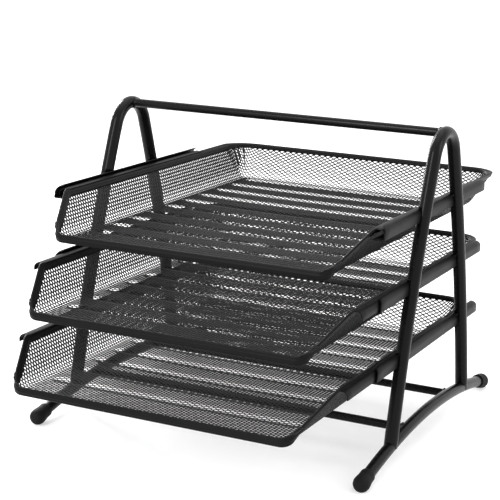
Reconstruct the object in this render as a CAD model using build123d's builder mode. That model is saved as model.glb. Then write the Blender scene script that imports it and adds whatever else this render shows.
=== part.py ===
import os
from math import asin, cos, radians, sin, sqrt

from build123d import *

os.makedirs("parts", exist_ok=True)

# Three sliding mesh trays in a welded tube frame. Millimetres, +Z up, +X to the user's right,
# trays pull out towards -Y. The origin is on the desk at the middle of the footprint.

# Frame tubes
leg_plane = 150.0
tube_radius = 5.0
leg_radius = 5.6
tube_wall = 1.2
apex_height = 262.3
apex_bend = 26.0
leg_tilt_top = 21.0
leg_curve = 1390.0

# Base bows and their rubber caps
bow_curve = 673.0
bow_reach = 155.0
cap_radius = 7.0
cap_flat_depth = 0.5
cap_middle = 151.0
cap_start = 138.0
cap_nose = 1.2
collar_radius = 6.2

# Bars
handle_radius = 3.5
cross_bar_radius = 3.3
cross_bar_place = 53.0
bar_bite = 1.0

# Rails: a rolled J profile, with its round shoulder outwards and its lip under the runner
rail_top_height = 205.5
rail_pitch = 56.7
rail_front = -127.0
rail_back = 122.0
rail_height = 11.0
rail_sheet = 1.0
rail_ridge = 144.2
rail_shoulder = 5.2
rail_lip_edge = 139.6
rail_front_round = 10.0
rail_back_round = 4.0
notch_gap = 0.02

# Trays
rim_radius = 2.3
rim_half_width = 138.3
rim_drop = 5.7
rim_back = 194.8
rim_length = 319.0
rim_back_round = 23.4
lip_round = 12.0
tray_depth = 32.0
front_reach = 47.0
lip_height = 7.6
floor_inset = 20.5
floor_round = 14.0
basket_sheet = 1.2
basket_bend = 8.0
tray_forward = {"top_tray": 0.0, "middle_tray": 38.0, "bottom_tray": 60.0}

# Runners: a rolled strip along each side of the rim, nested inside the rail
runner_sheet = 1.0
runner_top_drop = 2.6
runner_shoulder = 5.0
runner_reach = 147.6
runner_clearance = 0.3
runner_back_inset = 74.0
runner_front_inset = 2.0

# The footprint runs from the bottom tray's lip to the top tray's back rim
footprint_front = rim_back - rim_length - front_reach - max(tray_forward.values())
footprint_back = rim_back + rim_radius
frame_y = -(footprint_front + footprint_back) / 2

bow_crown = cap_radius - cap_flat_depth + bow_curve - sqrt(bow_curve**2 - cap_middle**2)
sides = {"left": -1, "right": 1}
levels = {"top": 0, "middle": 1, "bottom": 2}


def save(part, name):
    part.label = name
    export_step(part, f"parts/{name}.step")


def side_plane(side):
    """The upright plane of one A-frame, drawn with X to the back and Y upwards."""
    return Plane(origin=(side * leg_plane, frame_y, 0), x_dir=(0, 1, 0), z_dir=(1, 0, 0))


def rail_top(level):
    return rail_top_height - rail_pitch * levels[level]


def bow_height(reach):
    return bow_crown - bow_curve + sqrt(bow_curve**2 - reach**2)


def make_bow(side, hollow=True):
    with BuildPart() as bow:
        with BuildLine(side_plane(side)) as path:
            ThreePointArc(
                (-bow_reach, bow_height(bow_reach)), (0, bow_crown), (bow_reach, bow_height(bow_reach))
            )
        with BuildSketch(path.line ^ 0):
            Circle(tube_radius)
            if hollow:
                Circle(tube_radius - tube_wall, mode=Mode.SUBTRACT)
        sweep(path=path.line)
    return bow.part


def rail_envelope(side, level):
    """The closed outline of a rail, used to notch the legs that it is let into."""
    top = rail_top(level)
    web = rail_ridge + rail_shoulder + notch_gap
    with BuildPart() as envelope:
        with BuildSketch(Plane.XZ.offset(-(frame_y + rail_back))):
            with BuildLine():
                Polyline((side * web, top - rail_shoulder), (side * web, top - rail_height - notch_gap))
                Line((side * web, top - rail_height - notch_gap),
                     (side * rail_lip_edge, top - rail_height - notch_gap))
                Line((side * rail_lip_edge, top - rail_height - notch_gap), (side * rail_lip_edge, top))
                Line((side * rail_lip_edge, top), (side * rail_ridge, top + notch_gap))
                ThreePointArc(
                    (side * rail_ridge, top + notch_gap),
                    (side * (rail_ridge + (rail_shoulder + notch_gap) * sin(radians(45))),
                     top - rail_shoulder + (rail_shoulder + notch_gap) * cos(radians(45))),
                    (side * web, top - rail_shoulder),
                )
            make_face()
        extrude(amount=rail_back - rail_front)
    return envelope.part


def make_a_frame(side):
    """One bent tube: two bowed legs and a round apex, notched for the rails and coped to the bow."""
    bend_centre = apex_height - apex_bend
    tilt = radians(leg_tilt_top)
    tangent = (apex_bend * cos(tilt), bend_centre + apex_bend * sin(tilt))
    centre = (tangent[0] - leg_curve * cos(tilt), tangent[1] - leg_curve * sin(tilt))

    def on_leg(height):
        angle = asin((height - centre[1]) / leg_curve)
        return (centre[0] + leg_curve * cos(angle), height)

    foot = on_leg(bow_crown - tube_radius)
    knee = on_leg((foot[1] + tangent[1]) / 2)
    with BuildPart() as a_frame:
        with BuildLine(side_plane(side)) as path:
            ThreePointArc((-foot[0], foot[1]), (-knee[0], knee[1]), (-tangent[0], tangent[1]))
            ThreePointArc((-tangent[0], tangent[1]), (0, apex_height), tangent)
            ThreePointArc(tangent, knee, foot)
        with BuildSketch(path.line ^ 0):
            Circle(leg_radius)
            Circle(leg_radius - tube_wall, mode=Mode.SUBTRACT)
        sweep(path=path.line)
        add(make_bow(side, hollow=False), mode=Mode.SUBTRACT)
        for level in levels:
            add(rail_envelope(side, level), mode=Mode.SUBTRACT)
    leg = a_frame.part
    return leg.solids().sort_by(SortBy.VOLUME)[-1]


def make_cap(side, end):
    """A moulded rubber cap: a collar on the tube, a round bulb, and a small flat to stand on."""
    slope = asin(cap_middle / bow_curve)
    middle = Plane(
        origin=(side * leg_plane, frame_y + end * cap_middle, cap_radius - cap_flat_depth),
        x_dir=(1, 0, 0),
        z_dir=(0, end * cos(slope), -sin(slope)),
    )
    bulb_half = 0.9 * cap_radius
    shoulder = cap_radius - 0.4
    nose = cap_radius + cap_nose
    with BuildPart() as cap:
        with BuildSketch(Plane(middle.origin, x_dir=middle.x_dir, z_dir=-middle.y_dir)):
            with BuildLine():
                Polyline(
                    (0, nose), (0, cap_start - cap_middle), (collar_radius, cap_start - cap_middle),
                    (collar_radius, -bulb_half - 1.5), (shoulder, -bulb_half),
                )
                ThreePointArc((shoulder, -bulb_half), (cap_radius, -1), (shoulder, 0.6 * bulb_half))
                ThreePointArc((shoulder, 0.6 * bulb_half), (0.7 * cap_radius, 0.8 * nose), (0, nose))
            make_face()
        revolve(axis=Axis(middle.origin, middle.z_dir))
        add(make_bow(side, hollow=False), mode=Mode.SUBTRACT)
        with BuildSketch(Plane.XY):
            with Locations((side * leg_plane, frame_y + end * cap_middle)):
                Rectangle(6 * cap_radius, 6 * cap_radius)
        extrude(amount=-2 * cap_radius, mode=Mode.SUBTRACT)
    return cap.part.solids().sort_by(SortBy.VOLUME)[-1]


def make_bar(reach, height, radius, half_length, neighbours):
    """A straight bar across the frame, coped to the tubes at its two ends."""
    with BuildPart() as bar:
        with BuildSketch(Plane.YZ.offset(-half_length)):
            with Locations((frame_y + reach, height)):
                Circle(radius)
        extrude(amount=2 * half_length)
        for neighbour in neighbours:
            add(neighbour, mode=Mode.SUBTRACT)
    return bar.part.solids().sort_by(SortBy.VOLUME)[-1]


def make_rail(side, level):
    top = rail_top(level)
    inner = rail_shoulder - rail_sheet
    web = rail_ridge + rail_shoulder
    low = top - rail_height
    half = sin(radians(45))
    with BuildPart() as rail:
        with BuildSketch(Plane.XZ.offset(-(frame_y + rail_back))):
            with BuildLine():
                Line((side * web, top - rail_shoulder), (side * web, low))
                Line((side * web, low), (side * rail_lip_edge, low))
                Line((side * rail_lip_edge, low), (side * rail_lip_edge, low + rail_sheet))
                Line((side * rail_lip_edge, low + rail_sheet), (side * (web - rail_sheet), low + rail_sheet))
                Line((side * (web - rail_sheet), low + rail_sheet),
                     (side * (web - rail_sheet), top - rail_shoulder))
                ThreePointArc(
                    (side * (web - rail_sheet), top - rail_shoulder),
                    (side * (rail_ridge + inner * half), top - rail_shoulder + inner * half),
                    (side * rail_ridge, top - rail_sheet),
                )
                Line((side * rail_ridge, top - rail_sheet), (side * rail_ridge, top))
                ThreePointArc(
                    (side * rail_ridge, top),
                    (side * (rail_ridge + rail_shoulder * half), top - rail_shoulder + rail_shoulder * half),
                    (side * web, top - rail_shoulder),
                )
            make_face()
        extrude(amount=rail_back - rail_front)
        # The ends of the web are rounded off so that they don't catch a hand.
        with BuildSketch(Plane.YZ.offset(side * leg_plane)) as silhouette:
            with BuildLine():
                Polyline(
                    (frame_y + rail_front, low - 1), (frame_y + rail_back, low - 1),
                    (frame_y + rail_back, top - rail_back_round),
                )
                ThreePointArc(
                    (frame_y + rail_back, top - rail_back_round),
                    (
                        frame_y + rail_back - rail_back_round * (1 - half),
                        top - rail_back_round * (1 - half),
                    ),
                    (frame_y + rail_back - rail_back_round, top),
                )
                Line(
                    (frame_y + rail_back - rail_back_round, top),
                    (frame_y + rail_front + rail_front_round, top),
                )
                ThreePointArc(
                    (frame_y + rail_front + rail_front_round, top),
                    (
                        frame_y + rail_front + rail_front_round * (1 - half),
                        top - rail_front_round * (1 - half),
                    ),
                    (frame_y + rail_front, top - rail_front_round),
                )
                Line((frame_y + rail_front, top - rail_front_round), (frame_y + rail_front, low - 1))
            make_face()
        extrude(amount=2 * rail_height, both=True, mode=Mode.INTERSECT)
    return rail.part


def tray_places(tray):
    """The height of the rim, and where the rim's back, its front corner and the lip are along Y."""
    height = rail_top(tray.replace("_tray", "")) - rim_drop
    back = frame_y + rim_back - tray_forward[tray]
    return height, back, back - rim_length, back - rim_length - front_reach


def make_rim(tray):
    """The bound edge: round the sides and back at one level, then down to the low front lip."""
    height, back, corner, front = tray_places(tray)
    lip_drop = tray_depth - lip_height
    lip_reach = corner - front - rim_radius
    lip_half_width = rim_half_width - floor_inset * lip_drop / tray_depth
    slope_length = sqrt(lip_reach**2 + lip_drop**2)
    slope = Plane(origin=(0, corner, height), x_dir=(1, 0, 0), z_dir=(0, lip_drop, -lip_reach))
    with BuildPart() as rim:
        with BuildLine(Plane.XY.offset(height)) as upper:
            FilletPolyline(
                (-rim_half_width, corner), (-rim_half_width, back), (rim_half_width, back),
                (rim_half_width, corner), radius=rim_back_round,
            )
        with BuildSketch(upper.line ^ 0):
            Circle(rim_radius)
        sweep(path=upper.line)
        with BuildLine(slope) as lower:
            FilletPolyline(
                (-rim_half_width, 0), (-lip_half_width, slope_length), (lip_half_width, slope_length),
                (rim_half_width, 0), radius=lip_round,
            )
        with BuildSketch(lower.line ^ 0):
            Circle(rim_radius)
        sweep(path=lower.line)
        with Locations((-rim_half_width, corner, height), (rim_half_width, corner, height)):
            Sphere(rim_radius)
    return rim.part


def pan_block(tray, sheet):
    """The space inside the mesh tray, grown or shrunk by the sheet, as one solid with flared walls."""
    height, back, corner, front = tray_places(tray)
    floor = height - tray_depth + sheet
    top_width = 2 * (rim_half_width - sheet)
    top_length = back - front - 2 * sheet
    with BuildPart() as block:
        with BuildSketch(Plane.XY.offset(height)):
            with Locations((0, (back + front) / 2)):
                RectangleRounded(top_width, top_length, rim_back_round - sheet)
        with BuildSketch(Plane.XY.offset(floor)):
            with Locations((0, (back - floor_inset + front) / 2)):
                RectangleRounded(top_width - 2 * floor_inset, top_length - floor_inset, floor_round - sheet)
        loft()
        fillet(block.faces().sort_by(Axis.Z)[0].edges(), radius=basket_bend - sheet)
    return block.part


def make_basket(tray, rim):
    """The mesh tray as a thin pan: flared side and back walls, an open front and a low front lip."""
    height, back, corner, front = tray_places(tray)
    lip_top = height - tray_depth + lip_height
    with BuildPart() as basket:
        add(pan_block(tray, 0))
        add(pan_block(tray, basket_sheet), mode=Mode.SUBTRACT)
        # The front is open above a line that runs down from the rim's corners to the lip.
        with BuildSketch(Plane.YZ.offset(-rim_half_width)):
            with BuildLine():
                Polyline(
                    (corner, height), (front + rim_radius, lip_top), (front - tray_depth, lip_top),
                    (front - tray_depth, height + tray_depth), (corner, height + tray_depth),
                    (corner, height),
                )
            make_face()
        extrude(amount=2 * rim_half_width, mode=Mode.SUBTRACT)
        add(rim, mode=Mode.SUBTRACT)
    return basket.part.solids().sort_by(SortBy.VOLUME)[-1]


def make_runner(side, tray, rim):
    """A rolled strip beside the rim: a top flange, a round shoulder and a leg that rides on the lip."""
    height, back, corner, front = tray_places(tray)
    top = height + rim_drop - runner_top_drop
    low = height + rim_drop - rail_height + rail_sheet + runner_clearance
    bend = runner_reach - runner_shoulder
    inner = runner_shoulder - runner_sheet
    half = sin(radians(45))
    with BuildPart() as runner:
        with BuildSketch(Plane.XZ.offset(-(back - runner_back_inset))):
            with BuildLine():
                Line((side * rim_half_width, top - runner_sheet), (side * rim_half_width, top))
                Line((side * rim_half_width, top), (side * bend, top))
                ThreePointArc(
                    (side * bend, top),
                    (side * (bend + runner_shoulder * half), top - runner_shoulder * (1 - half)),
                    (side * runner_reach, top - runner_shoulder),
                )
                Polyline(
                    (side * runner_reach, top - runner_shoulder), (side * runner_reach, low),
                    (side * (runner_reach - runner_sheet), low),
                    (side * (runner_reach - runner_sheet), top - runner_shoulder),
                )
                ThreePointArc(
                    (side * (runner_reach - runner_sheet), top - runner_shoulder),
                    (side * (bend + inner * half), top - runner_shoulder + inner * half),
                    (side * bend, top - runner_sheet),
                )
                Line((side * bend, top - runner_sheet), (side * rim_half_width, top - runner_sheet))
            make_face()
        extrude(amount=back - runner_back_inset - corner - runner_front_inset)
        add(rim, mode=Mode.SUBTRACT)
    return runner.part.solids().sort_by(SortBy.VOLUME)[-1]


a_frames = [make_a_frame(side) for side in sides.values()]
bows = [make_bow(side) for side in sides.values()]
for (side_name, side), a_frame, bow in zip(sides.items(), a_frames, bows):
    save(bow, f"{side_name}_base_bow")
    save(a_frame, f"{side_name}_a_frame")
    for end_name, end in {"front": -1, "rear": 1}.items():
        save(make_cap(side, end), f"{end_name}_{side_name}_cap")
    for level in levels:
        save(make_rail(side, level), f"{level}_{side_name}_rail")

bar_length = leg_plane - tube_radius + bar_bite
save(make_bar(0, apex_height, handle_radius, bar_length, a_frames), "handle_bar")
for name, place in {"front_cross_bar": -cross_bar_place, "rear_cross_bar": cross_bar_place}.items():
    save(make_bar(place, bow_height(place), cross_bar_radius, bar_length, bows), name)

for tray in tray_forward:
    rim = make_rim(tray)
    save(rim, f"{tray}_rim")
    save(make_basket(tray, rim), f"{tray}_basket")
    for side_name, side in sides.items():
        save(make_runner(side, tray, rim), f"{tray}_{side_name}_runner")
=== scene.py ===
from math import acos, atan2, ceil, cos, hypot, pi, radians, sin, sqrt

import bmesh
import bpy
from mathutils import Euler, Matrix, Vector


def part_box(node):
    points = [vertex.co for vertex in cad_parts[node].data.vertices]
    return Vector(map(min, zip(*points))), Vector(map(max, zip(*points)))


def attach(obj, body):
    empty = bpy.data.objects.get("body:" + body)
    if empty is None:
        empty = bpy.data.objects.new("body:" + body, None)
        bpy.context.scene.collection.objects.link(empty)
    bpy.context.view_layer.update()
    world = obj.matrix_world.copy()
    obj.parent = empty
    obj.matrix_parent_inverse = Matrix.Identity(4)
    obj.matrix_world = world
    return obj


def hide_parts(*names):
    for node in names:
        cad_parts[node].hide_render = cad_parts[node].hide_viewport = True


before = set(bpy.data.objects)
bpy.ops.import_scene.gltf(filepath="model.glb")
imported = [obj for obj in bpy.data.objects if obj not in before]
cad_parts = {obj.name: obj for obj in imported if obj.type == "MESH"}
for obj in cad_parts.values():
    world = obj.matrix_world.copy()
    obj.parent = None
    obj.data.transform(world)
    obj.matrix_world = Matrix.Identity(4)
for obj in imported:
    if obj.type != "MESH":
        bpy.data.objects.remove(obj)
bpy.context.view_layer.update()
mm = 0.001
sides = {"left": -1, "right": 1}
levels = ["top", "middle", "bottom"]
frameMiddle = sum(corner.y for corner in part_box("left_base_bow")) / 2


# ---- shared makers ----

def newPiece(name, vertices, faces, body, material, nodes, smooth=True):
    mesh = bpy.data.meshes.new(name)
    mesh.from_pydata([tuple(v) for v in vertices], [], faces)
    mesh.validate()
    piece = bpy.data.objects.new(name, mesh)
    bpy.context.scene.collection.objects.link(piece)
    mesh.materials.append(material)
    mesh.polygons.foreach_set("use_smooth", [smooth] * len(mesh.polygons))
    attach(piece, body)
    if nodes:
        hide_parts(*nodes)
    return piece


def tangents(path, closed=False):
    count = len(path)
    result = []
    for i in range(count):
        before = path[i - 1] if (closed or i > 0) else path[i]
        after = path[(i + 1) % count] if (closed or i < count - 1) else path[i]
        result.append((after - before).normalized())
    return result


def sweepRings(rings, closed=False, caps=True):
    count = len(rings[0])
    vertices = [point for ring in rings for point in ring]
    faces = []
    spans = len(rings) if closed else len(rings) - 1
    for r in range(spans):
        low, high = r * count, ((r + 1) % len(rings)) * count
        for k in range(count):
            n = (k + 1) % count
            faces.append((low + k, low + n, high + n, high + k))
    if caps and not closed:
        faces.append(tuple(reversed(range(count))))
        last = (len(rings) - 1) * count
        faces.append(tuple(range(last, last + count)))
    return vertices, faces


def roundTube(path, radiusAt, sideways, around=28):
    # rings of a round tube; sideways is a fixed direction square to the whole path
    rings = []
    for i, (point, along) in enumerate(zip(path, tangents(path))):
        across = sideways.normalized()
        up = along.cross(across).normalized()
        radius = radiusAt(i)
        rings.append([
            point + across * (radius * cos(2 * pi * k / around)) + up * (radius * sin(2 * pi * k / around))
            for k in range(around)
        ])
    return sweepRings(rings)


def arcPoints(centre, radius, start, stop, count):
    # points on an arc in an upright front-to-back plane, angles from +Y towards +Z
    return [
        Vector((centre.x, centre.y + radius * cos(start + (stop - start) * i / count),
                centre.z + radius * sin(start + (stop - start) * i / count)))
        for i in range(count + 1)
    ]


def mergeParts(parts):
    vertices, faces = [], []
    for partVertices, partFaces in parts:
        offset = len(vertices)
        vertices += partVertices
        faces += [tuple(i + offset for i in face) for face in partFaces]
    return vertices, faces


# ---- finishes ----

def nodeMaterial(name):
    material = bpy.data.materials.new(name)
    material.use_nodes = True
    tree = material.node_tree
    shader = tree.nodes["Principled BSDF"]
    return material, tree, shader


def objectNoise(tree, scale, detail=3.0):
    place = tree.nodes.new("ShaderNodeTexCoord")
    noise = tree.nodes.new("ShaderNodeTexNoise")
    noise.inputs["Scale"].default_value = scale
    noise.inputs["Detail"].default_value = detail
    tree.links.new(place.outputs["Object"], noise.inputs["Vector"])
    return noise


def rangeOf(tree, source, low, high):
    spread = tree.nodes.new("ShaderNodeMapRange")
    spread.inputs["To Min"].default_value = low
    spread.inputs["To Max"].default_value = high
    tree.links.new(source, spread.inputs["Value"])
    return spread.outputs["Result"]


def powderCoat(name, look):
    # baked powder paint: fine orange peel, cloudy gloss and a faint change of tone
    material, tree, shader = nodeMaterial(name)
    cloud = objectNoise(tree, look["cloudScale"])
    tone = tree.nodes.new("ShaderNodeMixRGB")
    tone.inputs["Color1"].default_value = (*look["darkTone"], 1)
    tone.inputs["Color2"].default_value = (*look["lightTone"], 1)
    tree.links.new(cloud.outputs["Fac"], tone.inputs["Fac"])
    tree.links.new(tone.outputs["Color"], shader.inputs["Base Color"])
    tree.links.new(rangeOf(tree, cloud.outputs["Fac"], *look["roughness"]), shader.inputs["Roughness"])
    peel = objectNoise(tree, look["peelScale"], 2.0)
    bump = tree.nodes.new("ShaderNodeBump")
    bump.inputs["Strength"].default_value = look["peelStrength"]
    bump.inputs["Distance"].default_value = 0.0002
    tree.links.new(peel.outputs["Fac"], bump.inputs["Height"])
    tree.links.new(bump.outputs["Normal"], shader.inputs["Normal"])
    shader.inputs["Specular IOR Level"].default_value = look["specular"]
    return material


finishes = {
    "tube": {"darkTone": (0.002, 0.002, 0.0023), "lightTone": (0.004, 0.004, 0.0045), "cloudScale": 60,
             "roughness": (0.22, 0.32), "peelScale": 1400, "peelStrength": 0.22, "specular": 0.12},
    "rail": {"darkTone": (0.0025, 0.0025, 0.0028), "lightTone": (0.005, 0.005, 0.0055), "cloudScale": 50,
             "roughness": (0.36, 0.48), "peelScale": 1200, "peelStrength": 0.3, "specular": 0.09},
    "mesh": {"darkTone": (0.006, 0.006, 0.0063), "lightTone": (0.010, 0.010, 0.0105), "cloudScale": 45,
             "roughness": (0.35, 0.50), "peelScale": 1600, "peelStrength": 0.2, "specular": 0.2},
    "rubber": {"darkTone": (0.005, 0.005, 0.005), "lightTone": (0.009, 0.009, 0.009), "cloudScale": 120,
               "roughness": (0.55, 0.70), "peelScale": 2200, "peelStrength": 0.35, "specular": 0.09},
}
tubePaint = powderCoat("tubePaint", finishes["tube"])
railPaint = powderCoat("railPaint", finishes["rail"])
meshPaint = powderCoat("meshPaint", finishes["mesh"])
capRubber = powderCoat("capRubber", finishes["rubber"])
print("finishes made")


# ---- frame tubes ----

frameTube = {"radius": 5.0 * mm, "legRadius": 5.6 * mm, "apexBend": 26.0 * mm, "legTilt": radians(21.0),
             "legCurve": 1390.0 * mm, "legSink": 7 * mm, "bowCurve": 673.0 * mm, "bowReach": 155.0 * mm,
             "weldFlare": 0.9 * mm, "weldPlace": 9 * mm, "weldSpread": 4 * mm, "weldLength": 2.6 * mm,
             "barWeld": 1.3 * mm, "barCoat": 0.25 * mm}


def bowHeight(reach, crown):
    return crown - frameTube["bowCurve"] + sqrt(frameTube["bowCurve"] ** 2 - reach ** 2)


def makeBow(sideName, side):
    node = f"{sideName}_base_bow"
    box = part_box(node)
    crown = box[1].z - frameTube["radius"]
    centre = Vector((side * legPlane, frameMiddle, crown - frameTube["bowCurve"]))
    half = atan2(frameTube["bowReach"], sqrt(frameTube["bowCurve"] ** 2 - frameTube["bowReach"] ** 2))
    path = arcPoints(centre, frameTube["bowCurve"], pi / 2 + half, pi / 2 - half, 48)
    vertices, faces = roundTube(path, lambda i: frameTube["radius"], Vector((1, 0, 0)))
    newPiece(f"{sideName}_bow_tube", vertices, faces, "frame", tubePaint, [node])
    return crown


def legPath(sideName, side, crown):
    shape = frameTube
    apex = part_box(f"{sideName}_a_frame")[1].z - shape["legRadius"]
    tilt = shape["legTilt"]
    bendCentre = apex - shape["apexBend"]
    reach = shape["apexBend"] - shape["legCurve"]
    legCentre = (reach * cos(tilt), bendCentre + reach * sin(tilt))
    footDrop = crown - shape["legSink"] - legCentre[1]
    footAngle = atan2(footDrop, sqrt(shape["legCurve"] ** 2 - footDrop ** 2))
    x = side * legPlane
    rear = arcPoints(Vector((x, frameMiddle + legCentre[0], legCentre[1])), shape["legCurve"],
                     footAngle, tilt, 40)
    bend = arcPoints(Vector((x, frameMiddle, bendCentre)), shape["apexBend"], tilt, pi - tilt, 28)
    front = arcPoints(Vector((x, frameMiddle - legCentre[0], legCentre[1])), shape["legCurve"],
                      pi - tilt, pi - footAngle, 40)
    return rear + bend[1:-1] + front


def makeAFrame(sideName, side, crown):
    # one bent tube with a weld swelling at each foot, notched where the rails are let in
    path = legPath(sideName, side, crown)
    lengths = [0.0]
    for a, b in zip(path, path[1:]):
        lengths.append(lengths[-1] + (b - a).length)

    def radiusAt(i):
        fromWeld = min(lengths[i], lengths[-1] - lengths[i]) - frameTube["weldPlace"]
        swell = max(0.0, 1 - abs(fromWeld) / frameTube["weldSpread"])
        return frameTube["legRadius"] + frameTube["weldFlare"] * swell ** 2

    vertices, faces = roundTube(path, radiusAt, Vector((1, 0, 0)), 32)
    node = f"{sideName}_a_frame"
    piece = newPiece(f"{sideName}_leg_tube", vertices, faces, "frame", tubePaint, [node])
    cutters = []
    for level in levels:
        low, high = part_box(f"{level}_{sideName}_rail")
        corners = [(x, y, z) for x in (low.x, high.x) for y in (low.y, high.y) for z in (low.z, high.z)]
        box = bpy.data.meshes.new("notch")
        box.from_pydata(corners, [], [(0, 1, 3, 2), (4, 6, 7, 5), (0, 4, 5, 1), (2, 3, 7, 6), (0, 2, 6, 4),
                                      (1, 5, 7, 3)])
        cutter = bpy.data.objects.new("notch", box)
        bpy.context.scene.collection.objects.link(cutter)
        cutters.append(cutter)
        cut = piece.modifiers.new(level, "BOOLEAN")
        cut.operation = "DIFFERENCE"
        cut.solver = "EXACT"
        cut.object = cutter
    applyModifiers(piece)
    for cutter in cutters:
        bpy.data.objects.remove(cutter)


def applyModifiers(piece):
    dependencies = bpy.context.evaluated_depsgraph_get()
    dependencies.update()
    finished = bpy.data.meshes.new_from_object(piece.evaluated_get(dependencies))
    piece.modifiers.clear()
    piece.data = finished


def makeBar(name, node):
    # a straight bar that swells into a weld at each end
    low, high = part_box(node)
    radius = (high.z - low.z) / 2 + frameTube["barCoat"]
    middle = (low + high) / 2
    reach = high.x
    steps = [-reach + frameTube["weldLength"] * k / 6 for k in range(7)]
    steps += [-reach + (2 * reach) * k / 24 for k in range(1, 24)]
    steps += [reach - frameTube["weldLength"] * k / 6 for k in range(6, -1, -1)]
    path = [Vector((x, middle.y, middle.z)) for x in sorted(steps)]

    def radiusAt(i):
        fromEnd = reach - abs(path[i].x)
        return radius + frameTube["barWeld"] * max(0.0, 1 - fromEnd / frameTube["weldLength"]) ** 2

    vertices, faces = roundTube(path, radiusAt, Vector((0, 1, 0)), 24)
    newPiece(name, vertices, faces, "frame", tubePaint, [node])


footCap = {"collarRadius": 6.2 * mm, "bulbRadius": 7.0 * mm, "start": 138.0 * mm, "middle": 151.0 * mm,
           "nose": 6.2 * mm, "around": 40}


def makeCap(sideName, side, endName, end, crown):
    # a moulded cap turned about the tube's end, with a lipped collar and a flat to stand on
    shape = footCap
    node = f"{endName}_{sideName}_cap"
    slope = atan2(shape["middle"], sqrt(frameTube["bowCurve"] ** 2 - shape["middle"] ** 2))
    outward = Vector((0, end * cos(slope), -sin(slope)))
    centre = Vector((side * legPlane, frameMiddle + end * shape["middle"],
                     bowHeight(shape["middle"], crown)))
    back = shape["start"] - shape["middle"]
    bulb, collar, nose = shape["bulbRadius"], shape["collarRadius"], shape["nose"]
    profile = [(back + 1.2 * mm, frameTube["radius"] - 0.2 * mm), (back, frameTube["radius"]),
               (back, collar - 0.5 * mm), (back + 0.15 * mm, collar - 0.15 * mm),
               (back + 0.5 * mm, collar), (-8.6 * mm, collar), (-8.0 * mm, collar + 0.05 * mm),
               (-7.2 * mm, bulb - 0.75 * mm), (-6.0 * mm, bulb - 0.6 * mm), (-3.0 * mm, bulb - 0.2 * mm),
               (-0.5 * mm, bulb)]
    turns = 12
    for k in range(1, turns + 1):
        angle = pi / 2 * k / turns
        profile.append((-0.5 * mm + (nose + 0.5 * mm) * sin(angle), bulb * cos(angle) ** 0.65))
    across = Vector((1, 0, 0))
    up = outward.cross(across)
    rings = []
    for along, radius in profile[:-1]:
        ring = []
        for k in range(shape["around"]):
            angle = 2 * pi * k / shape["around"]
            point = centre + outward * along + (across * cos(angle) + up * sin(angle)) * radius
            point.z = max(point.z, 0.0)
            ring.append(point)
        rings.append(ring)
    vertices, faces = sweepRings(rings, caps=False)
    tip = len(vertices)
    vertices.append(centre + outward * nose)
    lastRing = (len(rings) - 1) * shape["around"]
    count = shape["around"]
    faces += [(lastRing + k, lastRing + (k + 1) % count, tip) for k in range(count)]
    faces.append(tuple(reversed(range(count))))
    newPiece(f"{endName}_{sideName}_rubber_cap", vertices, faces, "frame", capRubber, [node])


legPlane = sum(abs(corner.x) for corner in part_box("right_base_bow")) / 2
for sideName, side in sides.items():
    bowCrown = makeBow(sideName, side)
    makeAFrame(sideName, side, bowCrown)
    for endName, end in {"front": -1, "rear": 1}.items():
        makeCap(sideName, side, endName, end, bowCrown)
makeBar("handle_bar_tube", "handle_bar")
makeBar("front_cross_rod", "front_cross_bar")
makeBar("rear_cross_rod", "rear_cross_bar")
print("frame tubes made")


# ---- rails and runners: rolled strip profiles ----

railShape = {"sheet": 1.0 * mm, "shoulder": 5.2 * mm, "fold": 1.3 * mm, "frontRound": 10.0 * mm,
             "backRound": 4.0 * mm, "edge": 0.3 * mm}
runnerShape = {"sheet": 1.0 * mm, "shoulder": 5.0 * mm, "frontRound": 3.0 * mm, "backRound": 3.0 * mm,
               "edge": 0.3 * mm}


def stripProfile(outline, sheet):
    # offsets an open outline to its left by the sheet, and returns the outline with its offset copy
    inner = []
    count = len(outline)
    for i, point in enumerate(outline):
        before = outline[max(i - 1, 0)]
        after = outline[min(i + 1, count - 1)]
        step = ((after[0] - before[0]), (after[1] - before[1]))
        size = hypot(*step)
        inner.append((point[0] - step[1] / size * sheet, point[1] + step[0] / size * sheet))
    return outline, inner


def makeStrip(name, node, body, side, outline, shape, material):
    # the profile runs the node's length, with its upper corners rounded off at both ends
    low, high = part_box(node)
    outer, inner = stripProfile(outline, shape["sheet"])
    loop = outer + list(reversed(inner))
    top = max(z for x, z in loop)

    def endPlace(z, radius):
        drop = top - z
        return radius - sqrt(max(radius ** 2 - (radius - min(drop, radius)) ** 2, 0.0))

    rings = []
    stations = 24
    for k in range(stations + 1):
        ring = []
        for x, z in loop:
            front = low.y + endPlace(z, shape["frontRound"])
            back = high.y - endPlace(z, shape["backRound"])
            ring.append(Vector((side * x, front + (back - front) * k / stations, z)))
        rings.append(ring if side > 0 else list(reversed(ring)))
    vertices, faces = sweepRings(rings, caps=False)
    count, half = len(loop), len(outer)
    for first, flip in ((0, True), (stations * count, False)):
        for k in range(half - 1):
            quad = (first + k, first + k + 1, first + count - 2 - k, first + count - 1 - k)
            faces.append(tuple(reversed(quad)) if flip else quad)
    piece = newPiece(name, vertices, faces, body, material, [node], smooth=False)
    fixNormals(piece)
    bevel = piece.modifiers.new("edge", "BEVEL")
    bevel.width = shape["edge"]
    bevel.segments = 2
    bevel.limit_method = "ANGLE"
    bevel.angle_limit = radians(50)
    applyModifiers(piece)
    shadeByAngle(piece, 40)
    return piece


def fixNormals(piece):
    work = bmesh.new()
    work.from_mesh(piece.data)
    bmesh.ops.remove_doubles(work, verts=work.verts, dist=1e-6)
    bmesh.ops.recalc_face_normals(work, faces=work.faces)
    work.to_mesh(piece.data)
    work.free()


def shadeByAngle(piece, angle):
    piece.data.polygons.foreach_set("use_smooth", [True] * len(piece.data.polygons))
    piece.data.set_sharp_from_angle(angle=radians(angle))


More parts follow.
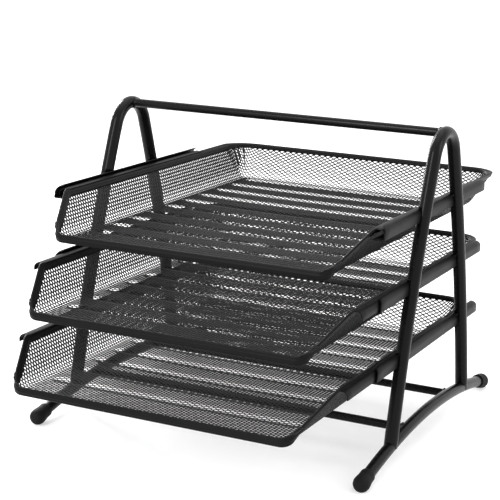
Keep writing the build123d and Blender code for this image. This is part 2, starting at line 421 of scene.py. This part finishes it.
def makeRail(level, sideName, side):
    node = f"{level}_{sideName}_rail"
    low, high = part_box(node)
    web = max(abs(low.x), abs(high.x))
    lipEdge = min(abs(low.x), abs(high.x))
    shoulder, fold = railShape["shoulder"], railShape["fold"]
    turns = 10
    outline = [(web - shoulder + shoulder * sin(pi / 2 * k / turns),
                high.z - shoulder + shoulder * cos(pi / 2 * k / turns)) for k in range(turns + 1)]
    outline.append((web, low.z + fold))
    outline += [(web - fold + fold * cos(pi / 2 * k / 4), low.z + fold - fold * sin(pi / 2 * k / 4))
                for k in range(1, 5)]
    outline.append((lipEdge, low.z))
    makeStrip(f"{level}_{sideName}_rolled_rail", node, "frame", side, list(reversed(outline)), railShape,
              railPaint)


def makeRunner(level, sideName, side):
    node = f"{level}_tray_{sideName}_runner"
    low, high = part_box(node)
    reach = max(abs(low.x), abs(high.x))
    inside = min(abs(low.x), abs(high.x))
    shoulder = runnerShape["shoulder"]
    turns = 10
    outline = [(inside - 1.0 * mm, high.z)]
    outline += [(reach - shoulder + shoulder * sin(pi / 2 * k / turns),
                 high.z - shoulder + shoulder * cos(pi / 2 * k / turns)) for k in range(turns + 1)]
    outline.append((reach, low.z))
    makeStrip(f"{level}_tray_{sideName}_rolled_runner", node, f"{level}_tray", side,
              list(reversed(outline)), runnerShape, railPaint)


for sideName, side in sides.items():
    for level in levels:
        makeRail(level, sideName, side)
        makeRunner(level, sideName, side)
print("rails and runners made")


# ---- tray pan: the shape that the mesh is pressed to ----

weave = {"diamondLength": 6.3 * mm, "diamondHeight": 3.6 * mm, "strandRadius": 0.43 * mm,
         "overEdge": 3.4 * mm, "wallWidening": 1.4}

pan = {"rimTube": 2.3 * mm, "rimLength": 319.0 * mm, "floorInset": 20.5 * mm, "depth": 32.0 * mm,
       "bend": 8.0 * mm, "corner": 2.0 * mm, "frontCorner": 3.0 * mm, "lip": 7.6 * mm,
       "frontSlope": radians(86.0), "frontInset": 1.4 * mm, "trimSteps": 24,
       "firstRib": 31.0 * mm, "ribPitch": 32.0 * mm, "ribCount": 10, "ribWidth": 14.0 * mm,
       "ribDepth": 1.4 * mm, "ribHalfLength": 113.0 * mm, "sag": 1.6 * mm, "sheet": 0.7 * mm,
       "margin": 4.0 * mm, "step": 2.4 * mm}


def trayPlaces(level):
    rimLow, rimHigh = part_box(f"{level}_tray_rim")
    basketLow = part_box(f"{level}_tray_basket")[0]
    rimHeight = rimHigh.z - pan["rimTube"]
    back = rimHigh.y - pan["rimTube"]
    return {"half": rimHigh.x - pan["rimTube"], "height": rimHeight, "back": back,
            "corner": back - pan["rimLength"], "front": basketLow.y, "floor": basketLow.z}


place = trayPlaces("top")  # every tray has the top tray's shape
wallSlope = atan2(pan["depth"], pan["floorInset"])
meshFloor = place["floor"] + pan["sheet"] + pan["ribDepth"] + pan["sag"] * 0.4
wallHeight = place["height"] - meshFloor
lipHeight = pan["lip"] - (meshFloor - place["floor"])


def wallReach(s, slope):
    # how far out and up a point is that lies s along the wall from the start of its bend
    bend = pan["bend"]
    if s <= 0:
        return s, 0.0
    if s < bend * slope:
        return bend * sin(s / bend), bend * (1 - cos(s / bend))
    rest = s - bend * slope
    return bend * sin(slope) + rest * cos(slope), bend * (1 - cos(slope)) + rest * sin(slope)


wallLength = pan["bend"] * wallSlope + (wallHeight - pan["bend"] * (1 - cos(wallSlope))) / sin(wallSlope)
wallOut = wallReach(wallLength, wallSlope)[0]
floorHalf = place["half"] - wallOut
floorBack = place["back"] - wallOut
lipTurn = pan["bend"] * acos(max(1 - lipHeight / pan["bend"], cos(pan["frontSlope"])))
floorFront = place["front"] + pan["frontInset"] + wallReach(lipTurn, pan["frontSlope"])[0]


def edgeHeight(y):
    # the height of the cut edge above the floor: level at the rim, falling to the front lip
    share = (y - place["front"]) / (place["corner"] - place["front"])
    return min(wallHeight, lipHeight + (wallHeight - lipHeight) * max(share, 0.0))


def ribDrop(x, y):
    drop = 0.0
    for k in range(pan["ribCount"]):
        middle = place["back"] - pan["firstRib"] - pan["ribPitch"] * k
        overEnd = max(abs(x) - (pan["ribHalfLength"] - pan["ribWidth"] / 2), 0.0)
        away = hypot(y - middle, overEnd) / (pan["ribWidth"] / 2)
        if away < 1:
            drop = max(drop, pan["ribDepth"] * 0.5 * (1 + cos(pi * away)))
    return drop


def floorSag(x, y):
    middle = (floorBack + floorFront) / 2
    along = max(1 - ((y - middle) / ((floorBack - floorFront) / 2)) ** 2, 0.0)
    across = max(1 - (x / floorHalf) ** 2, 0.0)
    return pan["sag"] * along * across


def pressedPoint(u, v):
    # takes a point of the flat sheet to the pressed tray; also how far it lies inside the cut edge
    atBack = v > (floorBack + floorFront) / 2
    corner = pan["corner"] if atBack else pan["frontCorner"]
    sideways = max(abs(u) - floorHalf + corner, 0.0)
    endways = max((v - floorBack if atBack else floorFront - v) + corner, 0.0)
    out = hypot(sideways, endways)
    s = out - corner
    baseX = min(abs(u), floorHalf - corner)
    baseY = min(v, floorBack - corner) if atBack else max(v, floorFront + corner)
    if out == 0:
        return Vector((u, v, meshFloor - floorSag(u, v) - ribDrop(u, v))), 0.1
    toSide, toEnd = sideways / out, endways / out
    slope = wallSlope if atBack else wallSlope + (pan["frontSlope"] - wallSlope) * toEnd ** 2

    def placeAt(t):
        reach, rise = wallReach(t, slope)
        x = baseX + (corner + reach) * toSide
        y = baseY + (corner + reach) * toEnd * (1 if atBack else -1)
        return x, y, rise

    x, y, rise = placeAt(s)
    allowed = s
    if rise > edgeHeight(y):
        low, high = 0.0, s
        for _ in range(pan["trimSteps"]):
            allowed = (low + high) / 2
            x, y, rise = placeAt(allowed)
            if rise > edgeHeight(y):
                high = allowed
            else:
                low = allowed
    drop = (floorSag(x, y) + ribDrop(x, y)) if s <= 0 else 0.0
    inside = allowed - s if allowed < s else 0.1
    return Vector((x if u >= 0 else -x, y, meshFloor + rise - drop)), inside


sheetHalf = floorHalf + wallLength + pan["margin"]
sheetFront = floorFront - lipHeight - pan["margin"]
sheetBack = floorBack + wallLength + pan["margin"]


def pressedSheet():
    # the pressed tray as a plain surface, with the flat sheet kept as its UV map
    columns = ceil(2 * sheetHalf / pan["step"])
    rows = ceil((sheetBack - sheetFront) / pan["step"])
    vertices, slack, flat, broad = [], [], [], []
    for i in range(columns + 1):
        for j in range(rows + 1):
            u = -sheetHalf + 2 * sheetHalf * i / columns
            v = sheetFront + (sheetBack - sheetFront) * j / rows
            point, inside = pressedPoint(u, v)
            vertices.append(point)
            slack.append(inside)
            climb = min(max((point.z - meshFloor) / pan["bend"], 0.0), 1.0)
            broad.append(1 + (weave["wallWidening"] - 1) * climb)
            flat.append((i / columns, j / rows))
    faces = []
    for i in range(columns):
        for j in range(rows):
            a = i * (rows + 1) + j
            faces.append((a, a + rows + 1, a + rows + 2, a + 1))
    mesh = bpy.data.meshes.new("pressed_sheet")
    mesh.from_pydata([tuple(v) for v in vertices], [], faces)
    layer = mesh.uv_layers.new(name="flatSheet")
    for loop in mesh.loops:
        layer.data[loop.index].uv = flat[loop.vertex_index]
    attribute = mesh.attributes.new("insideEdge", "FLOAT", "POINT")
    attribute.data.foreach_set("value", slack)
    widening = mesh.attributes.new("strandScale", "FLOAT", "POINT")
    widening.data.foreach_set("value", broad)
    return mesh


# ---- expanded mesh: rows of zigzag strands laid out flat and pressed onto the tray ----

def addInput(tree, name, kind, value=None):
    socket = tree.interface.new_socket(name=name, in_out="INPUT", socket_type=kind)
    if value is not None:
        socket.default_value = value
    return socket


def expandedMeshTree():
    tree = bpy.data.node_groups.new("expandedMesh", "GeometryNodeTree")
    addInput(tree, "Geometry", "NodeSocketGeometry")
    addInput(tree, "Sheet Width", "NodeSocketFloat", 0.3)
    addInput(tree, "Sheet Length", "NodeSocketFloat", 0.38)
    addInput(tree, "Diamond Length", "NodeSocketFloat", weave["diamondLength"])
    addInput(tree, "Diamond Height", "NodeSocketFloat", weave["diamondHeight"])
    addInput(tree, "Strand Radius", "NodeSocketFloat", weave["strandRadius"])
    addInput(tree, "Over Edge", "NodeSocketFloat", weave["overEdge"])
    addInput(tree, "Paint", "NodeSocketMaterial")
    tree.interface.new_socket(name="Geometry", in_out="OUTPUT", socket_type="NodeSocketGeometry")
    given = tree.nodes.new("NodeGroupInput")
    result = tree.nodes.new("NodeGroupOutput")
    link = tree.links.new

    def node(kind, **settings):
        made = tree.nodes.new(kind)
        for key, value in settings.items():
            setattr(made, key, value)
        return made

    def sums(operation, first, second=None, third=None):
        made = node("ShaderNodeMath", operation=operation)
        for slotNumber, value in enumerate((first, second, third)):
            if value is None:
                continue
            if isinstance(value, (int, float)):
                made.inputs[slotNumber].default_value = value
            else:
                link(value, made.inputs[slotNumber])
        return made.outputs[0]

    width, length = given.outputs["Sheet Width"], given.outputs["Sheet Length"]
    half = sums("MULTIPLY", given.outputs["Diamond Length"], 0.5)
    tall = given.outputs["Diamond Height"]
    columns = sums("ROUND", sums("DIVIDE", width, half))
    rows = sums("ROUND", sums("MULTIPLY", sums("DIVIDE", length, tall), 2.0))
    grid = node("GeometryNodeMeshGrid")
    link(sums("SUBTRACT", columns, 1.0), grid.inputs["Size X"])
    link(sums("SUBTRACT", rows, 1.0), grid.inputs["Size Y"])
    link(columns, grid.inputs["Vertices X"])
    link(rows, grid.inputs["Vertices Y"])

    position = node("GeometryNodeInputPosition")
    parts = node("ShaderNodeSeparateXYZ")
    link(position.outputs[0], parts.inputs[0])
    halfAcross = sums("MULTIPLY", sums("SUBTRACT", columns, 1.0), 0.5)
    column = sums("ROUND", sums("ADD", parts.outputs["X"], halfAcross))
    halfAlong = sums("MULTIPLY", sums("SUBTRACT", rows, 1.0), 0.5)
    row = sums("ROUND", sums("ADD", parts.outputs["Y"], halfAlong))
    oddColumn = sums("FLOORED_MODULO", column, 2.0)
    oddRow = sums("FLOORED_MODULO", row, 2.0)
    lean = sums("SUBTRACT", 0.5, oddRow)                      # +0.5 on even rows, -0.5 on odd rows
    along = sums("DIVIDE", sums("ADD", row, oddRow), 2.0)
    flatV = sums("MULTIPLY", tall, sums("ADD", along, sums("MULTIPLY", oddColumn, lean)))
    flatU = sums("MULTIPLY", column, half)
    flat = node("ShaderNodeCombineXYZ")
    link(sums("DIVIDE", flatU, width), flat.inputs["X"])
    link(sums("DIVIDE", flatV, length), flat.inputs["Y"])
    laid = node("GeometryNodeSetPosition")
    link(grid.outputs["Mesh"], laid.inputs["Geometry"])
    link(flat.outputs[0], laid.inputs["Position"])

    ends = node("GeometryNodeInputMeshEdgeVertices")
    stride = sums("ABSOLUTE", sums("SUBTRACT", ends.outputs["Vertex Index 1"],
                                   ends.outputs["Vertex Index 2"]))
    crossing = node("FunctionNodeCompare", data_type="FLOAT", operation="LESS_THAN")
    link(stride, crossing.inputs[0])
    crossing.inputs[1].default_value = 1.5
    zigzags = node("GeometryNodeDeleteGeometry", domain="EDGE", mode="EDGE_FACE")
    link(laid.outputs[0], zigzags.inputs["Geometry"])
    link(crossing.outputs[0], zigzags.inputs["Selection"])

    sheetMap = node("GeometryNodeInputNamedAttribute", data_type="FLOAT_VECTOR")
    sheetMap.inputs["Name"].default_value = "flatSheet"
    slack = node("GeometryNodeInputNamedAttribute", data_type="FLOAT")
    slack.inputs["Name"].default_value = "insideEdge"

    def sampled(kind, value):
        sample = node("GeometryNodeSampleUVSurface", data_type=kind)
        link(given.outputs["Geometry"], sample.inputs["Mesh"])
        link(value, sample.inputs["Value"])
        link(sheetMap.outputs["Attribute"], sample.inputs["Source UV Map"])
        link(position.outputs[0], sample.inputs["Sample UV"])
        return sample

    slackThere = sampled("FLOAT", slack.outputs["Attribute"])
    formedThere = sampled("FLOAT_VECTOR", position.outputs[0])
    outside = node("FunctionNodeCompare", data_type="FLOAT", operation="LESS_THAN")
    link(slackThere.outputs["Value"], outside.inputs[0])
    link(sums("MULTIPLY", given.outputs["Over Edge"], -1.0), outside.inputs[1])
    missing = node("FunctionNodeBooleanMath", operation="NOT")
    link(formedThere.outputs["Is Valid"], missing.inputs[0])
    gone = node("FunctionNodeBooleanMath", operation="OR")
    link(outside.outputs[0], gone.inputs[0])
    link(missing.outputs[0], gone.inputs[1])
    trimmed = node("GeometryNodeDeleteGeometry", domain="POINT", mode="ALL")
    link(zigzags.outputs[0], trimmed.inputs["Geometry"])
    link(gone.outputs[0], trimmed.inputs["Selection"])
    scaleOf = node("GeometryNodeInputNamedAttribute", data_type="FLOAT")
    scaleOf.inputs["Name"].default_value = "strandScale"
    scaleThere = sampled("FLOAT", scaleOf.outputs["Attribute"])
    scaled = node("GeometryNodeStoreNamedAttribute", data_type="FLOAT", domain="POINT")
    scaled.inputs["Name"].default_value = "strandScale"
    link(trimmed.outputs[0], scaled.inputs["Geometry"])
    link(scaleThere.outputs["Value"], scaled.inputs["Value"])
    formed = node("GeometryNodeSetPosition")
    link(scaled.outputs[0], formed.inputs["Geometry"])
    link(formedThere.outputs["Value"], formed.inputs["Position"])

    strands = node("GeometryNodeMeshToCurve")
    link(formed.outputs[0], strands.inputs[0])
    scaleKept = node("GeometryNodeInputNamedAttribute", data_type="FLOAT")
    scaleKept.inputs["Name"].default_value = "strandScale"
    section = node("GeometryNodeCurvePrimitiveCircle")
    section.inputs["Resolution"].default_value = 4
    link(given.outputs["Strand Radius"], section.inputs["Radius"])
    wires = node("GeometryNodeCurveToMesh")
    link(strands.outputs[0], wires.inputs["Curve"])
    link(scaleKept.outputs["Attribute"], wires.inputs["Scale"])
    link(section.outputs[0], wires.inputs["Profile Curve"])
    wires.inputs["Fill Caps"].default_value = True
    real = node("GeometryNodeRealizeInstances")
    link(wires.outputs[0], real.inputs[0])
    painted = node("GeometryNodeSetMaterial")
    link(real.outputs[0], painted.inputs["Geometry"])
    link(given.outputs["Paint"], painted.inputs["Material"])
    link(painted.outputs[0], result.inputs[0])
    return tree


def weaveMesh():
    # the finished mesh of the top tray; the other trays take moved copies of it
    sheet = bpy.data.objects.new("sheet_to_weave", pressedSheet())
    bpy.context.scene.collection.objects.link(sheet)
    tree = expandedMeshTree()
    weaving = sheet.modifiers.new("expandedMesh", "NODES")
    weaving.node_group = tree
    values = {"Sheet Width": 2 * sheetHalf, "Sheet Length": sheetBack - sheetFront, "Paint": meshPaint,
              "Diamond Length": weave["diamondLength"], "Diamond Height": weave["diamondHeight"],
              "Strand Radius": weave["strandRadius"], "Over Edge": weave["overEdge"]}
    for item in tree.interface.items_tree:
        if item.in_out == "INPUT" and item.name in values:
            weaving[item.identifier] = values[item.name]
    dependencies = bpy.context.evaluated_depsgraph_get()
    dependencies.update()
    woven = bpy.data.meshes.new_from_object(sheet.evaluated_get(dependencies))
    bpy.data.objects.remove(sheet)
    return woven


woven = weaveMesh()
print("mesh woven:", len(woven.polygons), "faces")
for level in levels:
    here = trayPlaces(level)
    mesh = woven.copy()
    shift = Vector((0, here["back"] - place["back"], here["height"] - place["height"]))
    for vertex in mesh.vertices:
        vertex.co += shift
    basket = bpy.data.objects.new(f"{level}_tray_mesh", mesh)
    bpy.context.scene.collection.objects.link(basket)
    if not mesh.materials:
        mesh.materials.append(meshPaint)
    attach(basket, f"{level}_tray")
    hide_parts(f"{level}_tray_basket")
print("baskets made")


# ---- bound rim: a folded strip round the edge of the mesh ----

rimStrip = {"backHalf": 2.6 * mm, "sideHalf": 3.7 * mm, "lipHalf": 3.6 * mm, "thickHalf": 1.2 * mm,
            "bead": 0.6 * mm, "backRound": 23.4 * mm, "cornerRound": 6.0 * mm, "lipRound": 9.0 * mm,
            "lipShare": 0.75, "around": 14}


def roundedPath(points, rounds, steps=10):
    # a closed path through the points, each corner rounded by its own radius
    path = []
    count = len(points)
    for i, (corner, radius) in enumerate(zip(points, rounds)):
        before, after = points[i - 1], points[(i + 1) % count]
        back, ahead = (before - corner).normalized(), (after - corner).normalized()
        if radius == 0:
            path.append(corner)
            continue
        half = back.angle(ahead) / 2
        reach = radius / sin(half) * cos(half)
        first, last = corner + back * reach, corner + ahead * reach
        centre = corner + (back + ahead).normalized() * (radius / sin(half))
        a, b = first - centre, last - centre
        sweep = a.angle(b)
        for k in range(steps + 1):
            t = k / steps
            path.append(centre + (a * sin((1 - t) * sweep) + b * sin(t * sweep)) / sin(sweep))
    return path


def splitLong(path, longest):
    result = []
    for a, b in zip(path, path[1:] + path[:1]):
        pieces = max(1, ceil((b - a).length / longest))
        result += [a + (b - a) * (k / pieces) for k in range(pieces)]
    return result


def rimSection(shape):
    # a flat folded strip with a bead pressed along its middle; widths from -1 to 1, heights in metres
    half = []
    for k in range(shape["around"] + 1):
        a = -cos(pi * k / shape["around"])
        edge = sqrt(max(1 - abs(a) ** 6, 0.0))
        half.append((a, edge * (shape["thickHalf"] + shape["bead"] * max(0.0, 1 - (a / 0.35) ** 2))))
    return half + [(a, -b) for a, b in reversed(half[1:-1])]


def makeRim(level):
    here = trayPlaces(level)
    shape = rimStrip
    section = rimSection(shape)
    half, height = here["half"] - 0.5 * mm, here["height"]
    lipZ = here["floor"] + shape["lipHalf"] + 0.3 * mm
    share = (height - lipZ) / pan["depth"]
    lipHalfWidth = half - pan["floorInset"] * share
    lipY = here["front"] + shape["thickHalf"] + shape["bead"] + 0.1 * mm
    back = here["back"] - 0.7 * mm
    points = [Vector((half, here["corner"], height)), Vector((half, back, height)),
              Vector((-half, back, height)), Vector((-half, here["corner"], height)),
              Vector((-lipHalfWidth, lipY, lipZ)), Vector((lipHalfWidth, lipY, lipZ))]
    rounds = [shape["cornerRound"], shape["backRound"], shape["backRound"], shape["cornerRound"],
              shape["lipRound"], shape["lipRound"]]
    path = splitLong(roundedPath(points, rounds), 12 * mm)
    steps = tangents(path, closed=True)
    rings = []
    for point, along in zip(path, steps):
        towardsBack = max(0.0, min(1.0, (point.y - (back - shape["backRound"])) / shape["backRound"]))
        fallen = (height - point.z) / (height - lipZ)
        towardsLip = max(0.0, min(1.0, (fallen - shape["lipShare"]) / (1 - shape["lipShare"])))
        sideNormal = Vector((sin(wallSlope) * (1 if point.x > 0 else -1), 0, -cos(wallSlope)))
        backNormal = Vector((0, sin(wallSlope), -cos(wallSlope)))
        lipNormal = Vector((0, -1, 0))
        outward = sideNormal * (1 - towardsBack) * (1 - towardsLip)
        outward = (outward + backNormal * towardsBack + lipNormal * towardsLip).normalized()
        broad = along.cross(outward).normalized()
        thin = broad.cross(along).normalized()
        wide = shape["sideHalf"] + (shape["backHalf"] - shape["sideHalf"]) * towardsBack
        wide += (shape["lipHalf"] - shape["sideHalf"]) * towardsLip
        rings.append([point + broad * (wide * a) + thin * b for a, b in section])
    vertices, faces = sweepRings(rings, closed=True)
    piece = newPiece(f"{level}_tray_bound_rim", vertices, faces, f"{level}_tray", railPaint,
                     [f"{level}_tray_rim"])
    fixNormals(piece)
    shadeByAngle(piece, 60)


for level in levels:
    makeRim(level)
print("rims made")


# ---- pleats: where the mesh is folded on itself at the two back corners ----

pleat = {"angles": (26, 40, 55), "start": 0.42, "halfWidth": 1.1 * mm, "lift": 0.5 * mm, "steps": 14}


def pleatRings(side, angle):
    # a tapered fold that runs down the corner of the wall from the rim
    corner = pan["corner"]
    rings = []
    for k in range(pleat["steps"] + 1):
        share = k / pleat["steps"]
        s = wallLength * (pleat["start"] + (0.98 - pleat["start"]) * share)
        direction = (side * cos(angle), sin(angle))
        across = Vector((-direction[1], direction[0], 0))
        point = pressedPoint(side * (floorHalf - corner) + direction[0] * (corner + s),
                             floorBack - corner + direction[1] * (corner + s))[0]
        wide = pleat["halfWidth"] * (0.25 + 0.75 * share)
        inward = Vector((-direction[0] * sin(wallSlope), -direction[1] * sin(wallSlope), cos(wallSlope)))
        rings.append([point + across * (wide * cos(t)) + inward * (pleat["lift"] * (1 + sin(t)))
                      for t in (2 * pi * m / 10 for m in range(10))])
    return rings


def makePleats(level):
    here = trayPlaces(level)
    shift = Vector((0, here["back"] - place["back"], here["height"] - place["height"]))
    parts = []
    for side in sides.values():
        for angle in pleat["angles"]:
            vertices, faces = sweepRings(pleatRings(side, radians(angle)))
            parts.append(([point + shift for point in vertices], faces))
    vertices, faces = mergeParts(parts)
    piece = newPiece(f"{level}_tray_corner_pleats", vertices, faces, f"{level}_tray",
                     meshPaint, [])
    fixNormals(piece)


for level in levels:
    makePleats(level)
print("pleats made")


# ---- studio ----

studio = {"floorTone": 0.60, "floorGlow": 0.45, "skyTone": 1.0, "skyStrength": 1.25}
# place, aim, width and length in metres, power in watts
softboxes = {"keySoftbox": ((-0.5, -1.5, 1.1), (0, 0, 0.12), (0.25, 0.9), 16),
             "edgeSoftbox": ((-1.3, 0.75, 0.8), (0, 0, 0.12), (0.3, 1.2), 30),
             "rightSoftbox": ((1.5, 0.3, 0.9), (0, 0, 0.12), (0.5, 0.8), 7),
             "topSoftbox": ((0.1, 0.3, 2.0), (0, 0, 0.0), (1.6, 1.6), 10)}
view = {"place": (0.54603, -1.1722, 0.44737), "turn": (76.1344, -1.6486, 26.6145), "sensor": 36.0,
        "lens": 109.357, "shift": (0.03, 0.04), "farthest": 50}


def makeFloor():
    mesh = bpy.data.meshes.new("studio_floor")
    mesh.from_pydata([(-6, -6, 0), (6, -6, 0), (6, 6, 0), (-6, 6, 0)], [], [(0, 1, 2, 3)])
    floor = bpy.data.objects.new("studio_floor", mesh)
    bpy.context.scene.collection.objects.link(floor)
    material, tree, shader = nodeMaterial("studioFloor")
    grain = objectNoise(tree, 3.0)
    tree.links.new(rangeOf(tree, grain.outputs["Fac"], 0.85, 0.9), shader.inputs["Roughness"])
    shader.inputs["Base Color"].default_value = (studio["floorTone"],) * 3 + (1,)
    shader.inputs["Emission Color"].default_value = (1, 1, 1, 1)
    shader.inputs["Emission Strength"].default_value = studio["floorGlow"]
    mesh.materials.append(material)


def makeLight(name, where, towards, size, power):
    light = bpy.data.lights.new(name, "AREA")
    light.shape = "RECTANGLE"
    light.size, light.size_y = size
    light.energy = power
    lamp = bpy.data.objects.new(name, light)
    lamp.location = where
    lamp.rotation_euler = (Vector(towards) - Vector(where)).to_track_quat("-Z", "Y").to_euler()
    bpy.context.scene.collection.objects.link(lamp)


def makeCamera():
    data = bpy.data.cameras.new("camera")
    data.sensor_width = view["sensor"]
    data.lens = view["lens"]
    data.shift_x, data.shift_y = view["shift"]
    data.clip_end = view["farthest"]
    camera = bpy.data.objects.new("camera", data)
    camera.location = view["place"]
    camera.rotation_euler = Euler([radians(turn) for turn in view["turn"]], "XYZ")
    bpy.context.scene.collection.objects.link(camera)
    bpy.context.scene.camera = camera


world = bpy.data.worlds.new("studio")
bpy.context.scene.world = world
world.use_nodes = True
world.node_tree.nodes["Background"].inputs["Color"].default_value = (studio["skyTone"],) * 3 + (1,)
world.node_tree.nodes["Background"].inputs["Strength"].default_value = studio["skyStrength"]
makeFloor()
makeCamera()
for name, (where, towards, size, power) in softboxes.items():
    makeLight(name, where, towards, size, power)
bpy.context.scene.view_settings.view_transform = "Standard"
print("studio made")
